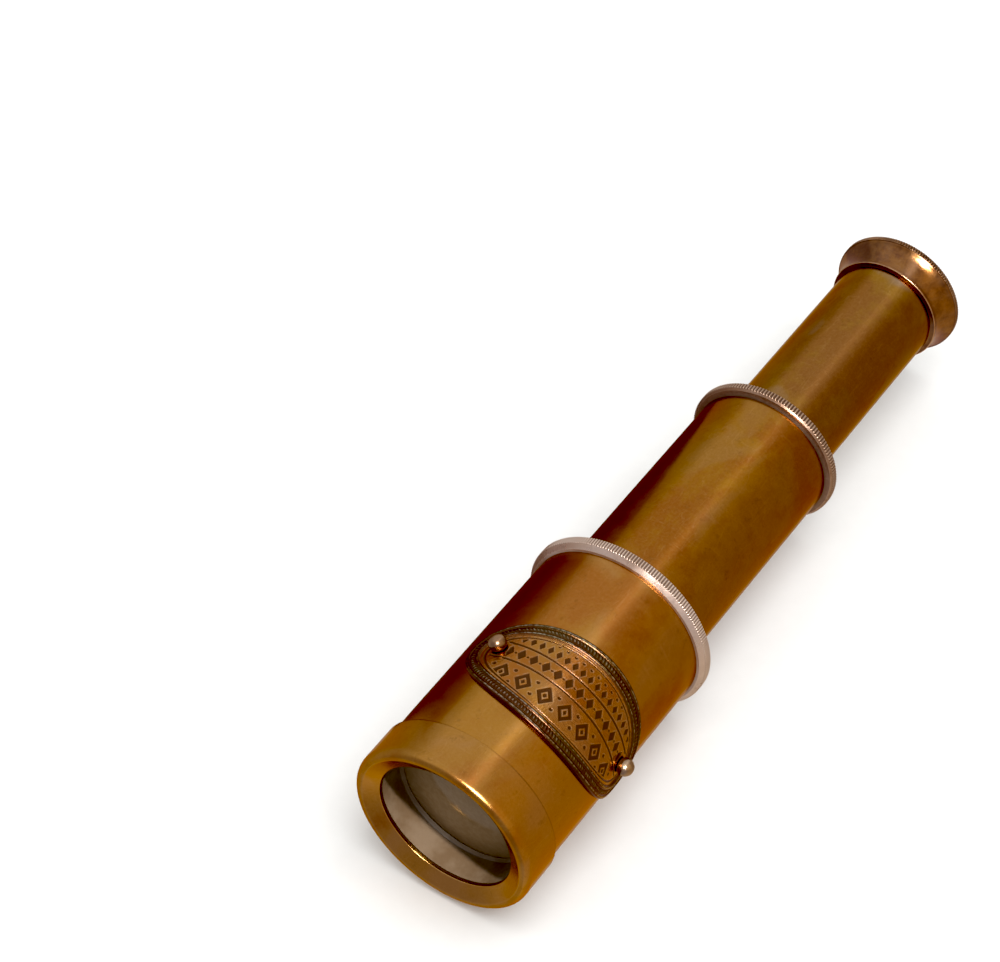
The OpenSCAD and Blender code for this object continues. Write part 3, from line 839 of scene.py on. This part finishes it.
def dress_cad_nodes(materials):
    """CAD nodes that keep their own mesh take the material of their slot in the record."""
    for part in frame["record"]["subparts"]:
        node = frame["nodes"][part["node"]]
        if not node.hide_render:
            node.data.materials.clear()
            node.data.materials.append(materials[part["material_slot"]])


# ---------------------------------------------------------------- studio

# The studio as polished tubes mirror it, by angle round the telescope's axis: brightness, and how
# warm it is. There is a soft box above, and a dimmer, warmer room on both sides.
MIRRORED = [
    (-180, 0.74, 0.2), (-150, 0.72, 0.2), (-135, 0.70, 0.3), (-100, 0.62, 0.3), (-72, 0.58, 0.2),
    (-58, 0.68, 0.0), (-44, 0.94, 0.0), (0, 0.95, 0.0), (8, 0.99, 0.0), (15, 1.08, 0.0),
    (22, 0.94, 0.2), (32, 0.72, 0.6), (46, 0.56, 0.95), (60, 0.49, 1.1), (120, 0.49, 1.1),
    (140, 0.54, 0.8), (155, 0.62, 0.3), (170, 0.70, 0.2), (180, 0.74, 0.2),
]
MIRROR_TOP = 1.25
WARM = np.array((1.0, 0.78, 0.60))
FRONT_COLOUR = (0.46, 0.42, 0.45)
LENS_COLOUR = (0.050, 0.034, 0.022)
PALE = (1.0, 1.0, 0.99)


def make_world():
    """A pale room for plain rays, the mirrored studio for glossy rays, and dusk inside lenses."""
    world = bpy.data.worlds.new("studio")
    bpy.context.scene.world = world
    world.use_nodes = True
    s = Shader(world.node_tree)
    direction = s.node("ShaderNodeTexCoord").outputs["Generated"]
    axes = s.node("ShaderNodeSeparateXYZ", {0: direction})
    along = axes.outputs[0]
    back = s.math("MULTIPLY", axes.outputs[1], -1.0)
    turn = s.math("ARCTAN2", back, axes.outputs[2])
    share = s.math("ADD", s.math("DIVIDE", turn, 2 * math.pi), 0.5)
    stops = [((angle + 180) / 360, tuple(level / MIRROR_TOP * (1 + warm * (WARM - 1))))
             for angle, level, warm in MIRRORED]
    room = s.ramp(share, stops)

    # A tall lamp gives the front of the barrel its pale streak, and a window lights its near side
    off_lamp = s.math("ABSOLUTE", s.math("SUBTRACT", turn, math.radians(15.0)))
    lamp = s.math("MULTIPLY", s.span(off_lamp, 0.0, math.radians(9.0), 1.0, 0.0),
                  s.span(along, 0.49, 0.60, 0.65, 0.12))
    room = s.mix(lamp, room, (1.0, 0.95, 0.86), "ADD")
    pane = s.math("MULTIPLY", s.span(turn, math.radians(22.0), math.radians(50.0)),
                  s.span(turn, math.radians(62.0), math.radians(95.0), 1.0, 0.5))
    window = s.math("MULTIPLY", pane, s.span(along, 0.495, 0.550, 0.38, 0.0))
    room = s.mix(window, room, (0.9, 0.72, 0.35), "ADD")

    front = s.span(along, -0.80, -0.40, 1.0, 0.0)
    room = s.mix(front, room, tuple(c / MIRROR_TOP for c in FRONT_COLOUR))
    path = s.node("ShaderNodeLightPath")
    colour = s.mix(path.outputs["Is Glossy Ray"], PALE, room)
    strength = s.span(path.outputs["Is Glossy Ray"], 0.0, 1.0, 0.95, MIRROR_TOP)
    in_lens = path.outputs["Is Transmission Ray"]
    colour = s.mix(in_lens, colour, LENS_COLOUR)
    lit = s.node("ShaderNodeBackground", {"Color": colour, "Strength": strength})
    s.node("ShaderNodeOutputWorld", {0: lit.outputs[0]})


def soft_box(name, target, direction, distance, size, power, glossy, diffuse):
    """A square lamp that faces the target."""
    data = bpy.data.lights.new(name, "AREA")
    data.shape = "SQUARE"
    data.size = size
    data.energy = power
    lamp = bpy.data.objects.new(name, data)
    bpy.context.scene.collection.objects.link(lamp)
    way = Vector(direction).normalized()
    lamp.location = Vector(target) + way * distance
    lamp.rotation_mode = "QUATERNION"
    lamp.rotation_quaternion = way.to_track_quat("Z", "Y")
    lamp.visible_glossy = glossy
    lamp.visible_diffuse = diffuse
    lamp.visible_camera = False
    return lamp


def make_lights(opening_wall):
    """A big soft key, a small lamp beside the camera for highlights, and a spot for the opening."""
    middle = ((cad_low + cad_high) / 2)[:]
    soft_box("key", middle, (-0.1, -0.35, 1.0), 0.9, 0.7, 6.0, False, True)
    soft_box("camera_side", middle, (-0.62, -0.33, 0.71), 0.9, 0.30, 11.0, True, False)
    spot = soft_box("opening_spot", (0, 0, 0), (-0.235, -0.39, 0.89), 0.9, 0.03, 25.0, False, True)
    lit = bpy.data.collections.new("opening_wall")
    lit.objects.link(opening_wall)
    spot.light_linking.receiver_collection = lit


def make_flag():
    """A dark brown card on the far side, seen only as the dark edge of the barrel and first draw.

    It stands on the floor beside the telescope, with a second sheet lying in front of it.
    """
    near, far, low = 12 * MM, 45 * MM, cad_low.z
    start, end = 26, 130
    top = [(start, 32), (74, 37), (100, 24), (end, -6)]
    points = [(start * MM, near, low), (end * MM, near, low), (end * MM, far, low),
              (start * MM, far, low)] + [(x * MM, far, z * MM) for x, z in top]
    mesh = bpy.data.meshes.new("flag")
    mesh.from_pydata(points, [], [(0, 1, 2, 3), (3, 2, 7, 6, 5, 4)])
    flag = bpy.data.objects.new("flag", mesh)
    bpy.context.scene.collection.objects.link(flag)
    material, s = new_material("flag")
    height = s.node("ShaderNodeSeparateXYZ", {0: s.place()}).outputs[2]
    colour = s.mix(s.span(height, 0.004, 0.036), (0.19, 0.075, 0.045), (0.42, 0.27, 0.15))
    glow = s.node("ShaderNodeEmission", {"Color": colour})
    s.node("ShaderNodeOutputMaterial", {0: glow.outputs[0]})
    mesh.materials.append(material)
    flag.visible_camera = flag.visible_diffuse = flag.visible_shadow = False
    flag.visible_transmission = False


def make_floor():
    """A pale sheet under the telescope. Metal and glass show the studio and not the sheet."""
    size = 6.0
    mesh = bpy.data.meshes.new("floor")
    z = cad_low.z
    mesh.from_pydata([(-size, -size, z), (size, -size, z), (size, size, z), (-size, size, z)],
                     [], [(0, 1, 2, 3)])
    floor = bpy.data.objects.new("floor", mesh)
    bpy.context.scene.collection.objects.link(floor)
    material, s = new_material("floor")
    grain = s.noise(s.place(), 300.0, 3.0, 0.6)
    colour = s.mix(grain, (0.80, 0.80, 0.79), (0.84, 0.84, 0.83))
    surface(s, Base_Color=colour, Roughness=0.9, Specular_IOR_Level=0.1)
    mesh.materials.append(material)
    floor.visible_glossy = floor.visible_transmission = False


# The camera sees the telescope from in front of the objective, on the -Y side and from above.
CAMERA_AZIMUTH = math.radians(-56.06)
CAMERA_ELEVATION = math.radians(46.84)
CAMERA_DISTANCE = 0.545
CAMERA_LENS = 109.0


def make_camera():
    """The aim is 36 mm to the +Y side of the middle of the telescope, as the picture is framed."""
    aim = Vector(((cad_low.x + cad_high.x) / 2 - 5.55 * MM, 36.2 * MM, -1.4 * MM))
    flat = math.cos(CAMERA_ELEVATION)
    back = Vector((math.sin(CAMERA_AZIMUTH) * flat, -math.cos(CAMERA_AZIMUTH) * flat,
                   math.sin(CAMERA_ELEVATION)))
    data = bpy.data.cameras.new("camera")
    data.lens = CAMERA_LENS
    data.sensor_width = 36.0
    data.clip_start = 0.01
    data.clip_end = 50.0
    camera = bpy.data.objects.new("camera", data)
    bpy.context.scene.collection.objects.link(camera)
    camera.location = aim + back * CAMERA_DISTANCE
    camera.rotation_mode = "QUATERNION"
    camera.rotation_quaternion = (-back).to_track_quat("-Z", "Y")
    bpy.context.scene.camera = camera


def make_look():
    """A plain view with the blacks set a little deep, as in a product photograph."""
    view = bpy.context.scene.view_settings
    view.view_transform = "Standard"
    view.use_curve_mapping = True
    view.curve_mapping.black_level = (0.018, 0.018, 0.018)
    view.curve_mapping.update()


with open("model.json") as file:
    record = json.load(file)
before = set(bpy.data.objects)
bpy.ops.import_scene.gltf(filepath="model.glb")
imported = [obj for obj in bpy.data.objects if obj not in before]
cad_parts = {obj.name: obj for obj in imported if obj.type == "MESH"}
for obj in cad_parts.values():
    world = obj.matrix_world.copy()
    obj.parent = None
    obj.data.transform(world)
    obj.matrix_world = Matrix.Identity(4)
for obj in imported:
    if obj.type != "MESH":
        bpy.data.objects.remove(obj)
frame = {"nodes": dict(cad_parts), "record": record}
cad_low, cad_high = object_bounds()
finishes = make_materials()
barrel_tube(finishes)
objective_cap(finishes)
seat = objective_seat(finishes)
objective_lens(finishes)
barrel_collar(finishes)
name_plate(finishes)
plate_pins(finishes)
draw_tube("draw_tube_1", "draw_1", "draw_brass", finishes)
draw_1_collar(finishes)
draw_tube("draw_tube_2", "draw_2", "draw_2_brass", finishes)
eyecup(finishes)
dress_cad_nodes(finishes)
make_floor()
make_flag()
make_world()
make_lights(seat)
make_camera()
make_look()
